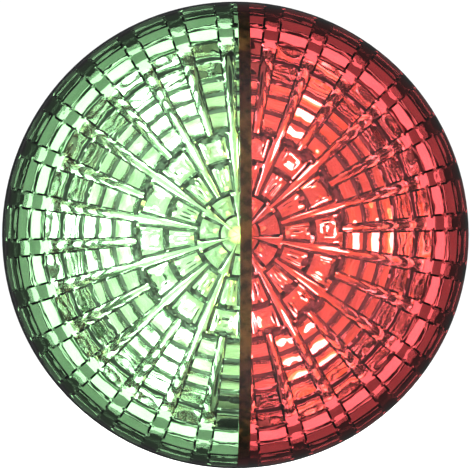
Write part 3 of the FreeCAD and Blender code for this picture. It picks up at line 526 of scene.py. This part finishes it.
finishes = {
    # ASA moulded in a spark-eroded tool: matt black, grain drawn three times too coarse so it shows
    "base_housing": {
        "material": "asaSparkGrained", "colour": "#17181A", "tone": "#222427", "worn": "#4A4C50",
        "patch": 9, "grain": 0.35, "roughness": 0.52, "bump": 0.5, "edge": 0.25,
    },
    # natural acetal, moulded: waxy white
    "bayonet_ring": {
        "material": "acetalMoulded", "colour": "#E8E8E2", "tone": "#DDDDD5", "patch": 7, "grain": 0.35,
        "roughness": 0.4, "bump": 0.2,
    },
    # closed-cell EPDM foam, die-cut: charcoal, dead matt, dented by its cells
    "mounting_gasket": {
        "material": "epdmFoamDieCut", "colour": "#35363A", "tone": "#45464A", "patch": 5, "grain": 0.7,
        "roughness": 0.93, "spread": 0.04, "bump": 1.0,
    },
    # moulded EPDM rubber: satin, with a grey bloom in patches
    "cable_grommet": {
        "material": "epdmRubberMoulded", "colour": "#191A1A", "tone": "#333433", "patch": 3,
        "grain": 0.5, "roughness": 0.6, "bump": 0.25,
    },
    # natural silicone, moulded or cut from sheet: milky and dusted with talc
    "lens_seal": {
        "material": "siliconeMoulded", "colour": "#DEDDD6", "tone": "#ECEBE5", "patch": 3,
        "grain": 0.5, "roughness": 0.45, "bump": 0.15,
    },
    "mounting_hole_seals": {
        "material": "siliconeSheetCut", "colour": "#E4E3DC", "tone": "#F2F1EC", "patch": 1.5,
        "grain": 0.3, "roughness": 0.6, "bump": 0.2,
    },
    # free-machining brass, turned
    "threaded_inserts": {
        "material": "brassTurned", "colour": "#C9A24C", "tone": "#B38E43", "patch": 1.5, "grain": 0.2,
        "roughness": 0.28, "bump": 0.15, "metallic": 1.0,
    },
    # white solder mask over glass-epoxy board: glossy, dimpled over the copper
    "circuit_board": {
        "material": "solderMaskOnGlassEpoxy", "colour": "#E9EAE5", "tone": "#DFE1DA", "patch": 4,
        "grain": 0.6, "roughness": 0.32, "bump": 0.2, "coat": 0.3,
    },
    # tinned copper wire: bright grey, dulled by flux
    "led_leads": {
        "material": "copperWireTinned", "colour": "#C4C5C4", "tone": "#A9A8A2", "patch": 0.8,
        "grain": 0.3, "roughness": 0.3, "bump": 0.2, "metallic": 1.0,
    },
    # ABS vacuum-metallised with aluminium: mirror-like but satin, with a slight orange peel
    "reflector": {
        "material": "absVacuumMetallised", "colour": "#B4B7BA", "tone": "#A5A8AB", "patch": 6,
        "grain": 1.1, "roughness": 0.25, "bump": 0.6, "metallic": 0.85,
    },
    # austenitic stainless steel, cold headed and turned
    "reflector_screws": {
        "material": "stainlessColdHeaded", "colour": "#C2C3C4", "tone": "#AEB0B2", "patch": 1.2,
        "grain": 0.25, "roughness": 0.26, "bump": 0.1, "metallic": 1.0,
    },
    # thick-film resistor: black glaze between tinned ends
    "current_resistors": {
        "material": "thickFilmGlazed", "colour": "#121214", "tone": "#1E1E22", "patch": 0.6,
        "grain": 0.15, "roughness": 0.3, "bump": 0.2,
    },
    # transfer-moulded epoxy: black and finely gritty, over tinned feet
    "bridge_rectifier": {
        "material": "epoxyMouldedRectifier", "colour": "#1A1B1C", "tone": "#262728", "patch": 1.5,
        "grain": 0.2, "roughness": 0.62, "bump": 0.5,
    },
    "voltage_regulator": {
        "material": "epoxyMouldedRegulator", "colour": "#1A1B1C", "tone": "#262728", "patch": 1.5,
        "grain": 0.2, "roughness": 0.62, "bump": 0.5,
    },
    # deep-drawn aluminium can, satin
    "smoothing_capacitor": {
        "material": "aluminiumDeepDrawn", "colour": "#CDCFD1", "tone": "#BDBFC1", "patch": 1.5,
        "grain": 0.25, "roughness": 0.33, "bump": 0.15, "metallic": 1.0,
    },
    # glass-filled nylon, moulded: mid green, mottled by the fibres
    "terminal_block": {
        "material": "nylonGlassFilled", "colour": "#3E7C50", "tone": "#35704A", "worn": "#6FA37E",
        "patch": 2, "grain": 0.25, "roughness": 0.42, "bump": 0.35, "edge": 0.15,
    },
    # mild steel, zinc plated: bright with a faint straw cast
    "terminal_screws": {
        "material": "steelZincPlated", "colour": "#CBC9BC", "tone": "#B9B9B4", "patch": 0.7,
        "grain": 0.2, "roughness": 0.3, "bump": 0.15, "metallic": 1.0,
    },
}

paintedGlow = {               # painted glow of the white plastic round the bowl: emission standing in for the LEDs' light passing through it
    "starboard": 3.2,
    "port": 3.0,
    "side": 0.16,         # the share left on its sides
    "blend": 1.0,         # mm, half the width over which one side's strength becomes the other's
    "fade": 0.2,          # mm, from a front edge to the side
    "edges": {"reflector": 22.5, "bayonet_ring": 11.9, "lens_seal": 4.3},  # mm from the hull
}

board = {"cutEdge": 25.9, "trackGap": 3.2, "trackDepth": 0.05}  # mm
foam = {"cell": 0.9, "dent": 0.3}  # mm
bowl = {"floor": 20.5, "mouth": 30.25, "ringPitch": 2.3, "ringDepth": 0.25}  # mm, radii and relief

toolMarks = {             # mm: centre of the first one, and pitch of the marks
    "reflector_screws": ((19.05, 11.0), 0.25),
    "threaded_inserts": ((19.05, 11.0), 0.3),
    "terminal_screws": ((2.5, -15.0), 0.3),
}
toolMarkDepth = 0.05      # mm


def dressFrame():
    made = {}
    for name, look in finishes.items():
        material, tree, shader, place = surface(look["material"], look)
        made[name] = tree, shader, place
        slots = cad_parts[name].data.materials
        slots.clear()
        slots.append(material)

    # solder mask: tracks show as faint ridges, and the cut edge shows the bare board
    tree, shader, place = made["circuit_board"]
    tracks = addNode(tree, "ShaderNodeTexVoronoi", {
        "feature": "DISTANCE_TO_EDGE",
        "Scale": 1 / (board["trackGap"] * mm),
    }, {"Vector": place})
    copper = addNode(tree, "ShaderNodeMapRange", {
        "From Min": 0.05,
        "From Max": 0.09,
        "To Min": 1.0,
        "To Max": 0.0,
    }, {"Value": tracks.outputs["Distance"]})
    layRelief(tree, shader, copper.outputs["Result"], 0.6, board["trackDepth"])
    layTint(tree, shader, copper.outputs["Result"], "#D3DACB")
    layTint(tree, shader, pastCircle(tree, place, board["cutEdge"]), "#B9A56C", roughness=0.75)

    # foam: cut cells leave small round dents
    tree, shader, place = made["mounting_gasket"]
    cells = addNode(tree, "ShaderNodeTexVoronoi", {
        "feature": "SMOOTH_F1",
        "Scale": 1 / (foam["cell"] * mm),
        "Smoothness": 0.4,
    }, {"Vector": place})
    layRelief(tree, shader, cells.outputs["Distance"], 0.8, foam["dent"])

    # only the bowl's curve is metallised: its floor and folded rim are the bare white moulding
    tree, shader, place = made["reflector"]
    rim = pastCircle(tree, place, bowl["mouth"])
    curve = addNode(tree, "ShaderNodeMath", {"operation": "SUBTRACT"},
                    {0: pastCircle(tree, place, bowl["floor"]), 1: rim})
    white = addNode(tree, "ShaderNodeMath", {"operation": "SUBTRACT", 0: 1.0}, {1: curve.outputs[0]})
    layTint(tree, shader, white.outputs[0], "#F2F2EE", roughness=0.35)
    shine = addNode(tree, "ShaderNodeMapRange", {"To Max": finishes["reflector"]["metallic"]},
                    {"Value": curve.outputs[0]})
    tree.links.new(shine.outputs["Result"], shader.inputs["Metallic"])
    circleRelief(tree, shader, place, (0, 0), bowl["ringPitch"], bowl["ringDepth"], strength=1.0)
    # painted glow: the reflector's rim, the bayonet ring and the lens seal emit light, standing in for the
    # LEDs' light passing through them
    for name, edge in paintedGlow["edges"].items():
        tree, shader, place = made[name]
        paintGlowThrough(tree, shader, place, edge, rim if name == "reflector" else None)

    # bright ends, feet and tabs
    tree, shader, place = made["current_resistors"]
    layTint(tree, shader, axisPast(tree, place, "X", 10.5, 1.15, fold=True), "#C9C9C6", metallic=1.0)
    for name, centre, reach in (("bridge_rectifier", 16.0, 2.02), ("voltage_regulator", 6.0, 1.27)):
        tree, shader, place = made[name]
        feet = axisPast(tree, place, "Z", centre, reach)
        layTint(tree, shader, feet, "#C9C9C6", metallic=1.0, roughness=0.3)
    # the printed half-moon that marks the can's negative side
    tree, shader, place = made["smoothing_capacitor"]
    layTint(tree, shader, axisPast(tree, place, "X", -7.5, 3.6), "#1C1C1E", roughness=0.5)

    for name, (centre, pitch) in toolMarks.items():
        tree, shader, place = made[name]
        circleRelief(tree, shader, place, centre, pitch, toolMarkDepth)
    print("finishes:", len(made))


dressFrame()

# ---- stage, light and camera

stage = {
    "distance": 2.2,      # m from the camera
    "azimuth": 1.1,       # degrees round to the left
    "frameWidth": 76.85,  # mm that the camera takes in at the hull
    "sensorWidth": 36.0,  # mm
    "floorSize": 3.0,     # m, half its width
    "floorDrop": 0.2,     # mm below the light
    "floorGlow": 0.88,    # only to the eye, as is the backdrop
    "backdrop": 1.05,
    "frontStudio": 0.58,  # soft light from ahead, and what is left of it behind
    "backStudio": 0.06,
    "studioFade": (0.35, -0.8),  # where it starts and stops growing: cosines of the way to behind
    # place in m, size in m, and watts
    "lamps": {
        "key": ((-0.5, -0.7, 0.8), 0.6, 8.0),
        "fill": ((0.8, -0.4, 0.5), 0.7, 4.0),
        "rearKey": ((-0.7, 0.8, 0.8), 0.6, 26.0),
        "rearFill": ((0.8, 0.7, 0.3), 0.6, 9.0),
    },
}


def makeFloor(scene):
    bm = bmesh.new()
    bmesh.ops.create_grid(bm, x_segments=1, y_segments=1, size=stage["floorSize"])
    bmesh.ops.translate(bm, verts=bm.verts, vec=(0, 0, cadBounds[0][2] - stage["floorDrop"] * mm))
    mesh = bpy.data.meshes.new("floor")
    bm.to_mesh(mesh)
    bm.free()
    floor = bpy.data.objects.new("floor", mesh)
    scene.collection.objects.link(floor)
    material, tree, out, place = newMaterial("paleFloor")
    shader = addNode(tree, "ShaderNodeBsdfPrincipled", {
        "Base Color": hexColour("#F4F4F2"),
        "Roughness": 0.8,
        "Emission Color": (1, 1, 1, 1),
    })
    seen = tree.nodes.new("ShaderNodeLightPath")
    glow = addNode(tree, "ShaderNodeMath", {"operation": "MULTIPLY", 1: stage["floorGlow"]},
                   {0: seen.outputs["Is Camera Ray"]})
    tree.links.new(glow.outputs[0], shader.inputs["Emission Strength"])
    tree.links.new(shader.outputs["BSDF"], out.inputs["Surface"])
    mesh.materials.append(material)
    floor.visible_glossy = False
    floor.visible_transmission = False


def makeWorld(scene):
    # a white backdrop to the eye; the light itself comes from in front and leaves the back dark
    world = bpy.data.worlds.new("studio")
    scene.world = world
    world.use_nodes = True
    tree = world.node_tree
    tree.nodes.clear()
    out = tree.nodes.new("ShaderNodeOutputWorld")
    path = tree.nodes.new("ShaderNodeLightPath")
    way = tree.nodes.new("ShaderNodeTexCoord")
    split = addNode(tree, "ShaderNodeSeparateXYZ", links={"Vector": way.outputs["Generated"]})
    front = addNode(tree, "ShaderNodeMapRange", {
        "interpolation_type": "SMOOTHSTEP",
        "From Min": stage["studioFade"][0],
        "From Max": stage["studioFade"][1],
        "To Min": stage["backStudio"],
        "To Max": stage["frontStudio"],
    }, {"Value": split.outputs["Y"]})
    soft = addNode(tree, "ShaderNodeBackground", {"Color": (1, 1, 1, 1)},
                   {"Strength": front.outputs["Result"]})
    backdrop = addNode(tree, "ShaderNodeBackground", {"Color": (1, 1, 1, 1), "Strength": stage["backdrop"]})
    mix = addNode(tree, "ShaderNodeMixShader", links={
        0: path.outputs["Is Camera Ray"],
        1: soft.outputs[0],
        2: backdrop.outputs[0],
    })
    tree.links.new(mix.outputs[0], out.inputs["Surface"])


def makeLamps(scene):
    for name, (place, size, watts) in stage["lamps"].items():
        data = bpy.data.lights.new(name, "AREA")
        data.size = size
        data.energy = watts
        lamp = bpy.data.objects.new(name, data)
        lamp.location = place
        lamp.rotation_euler = (-Vector(place)).to_track_quat("-Z", "Y").to_euler()
        lamp.visible_glossy = False
        lamp.visible_transmission = False
        scene.collection.objects.link(lamp)


def makeCamera(scene):
    data = bpy.data.cameras.new("camera")
    data.sensor_width = stage["sensorWidth"]
    data.lens = stage["sensorWidth"] * stage["distance"] / (stage["frameWidth"] * mm)
    data.clip_end = 20.0
    camera = bpy.data.objects.new("camera", data)
    turn = math.radians(stage["azimuth"])
    camera.location = (-stage["distance"] * math.sin(turn), -stage["distance"] * math.cos(turn), 0.0)
    camera.rotation_euler = (math.radians(90), 0, -turn)
    scene.collection.objects.link(camera)
    scene.camera = camera


def makeStage():
    scene = bpy.context.scene
    scene.view_settings.view_transform = "Standard"
    makeFloor(scene)
    makeWorld(scene)
    makeLamps(scene)
    makeCamera(scene)
    print("stage:", len(stage["lamps"]), "lamps")


makeStage()
